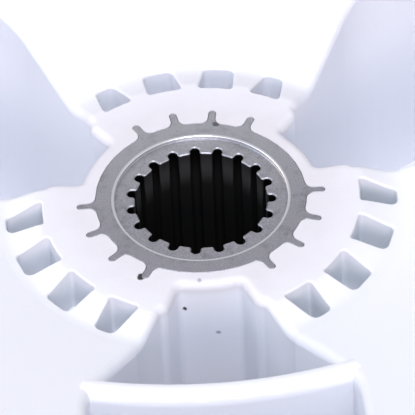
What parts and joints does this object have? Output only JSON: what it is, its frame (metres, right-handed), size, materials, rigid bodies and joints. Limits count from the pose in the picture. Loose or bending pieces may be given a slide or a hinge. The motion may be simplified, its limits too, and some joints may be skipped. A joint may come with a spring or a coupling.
{
  "type": "washing machine washplate",
  "caption": "Dished round washplate with hollow vanes, a rim skirt and a splined metal drive insert moulded into its lobed hub.",
  "frame": {"origin": "centre of the bounding box's bottom face: on the surface it lies on, on the hub's axis", "axes": "+Z along the hub's axis, out of the drive socket; +Y along the middle of one lobe"},
  "size_m": [0.34, 0.34, 0.0749],
  "materials": {
    "plate_plastic": "white moulded polypropylene, satin",
    "insert_metal": "grey sintered steel, faced and turned"
  },
  "bodies": {
    "root": {"washplate_body": "plate_plastic", "spline_insert": "insert_metal"}
  },
  "joints": []
}
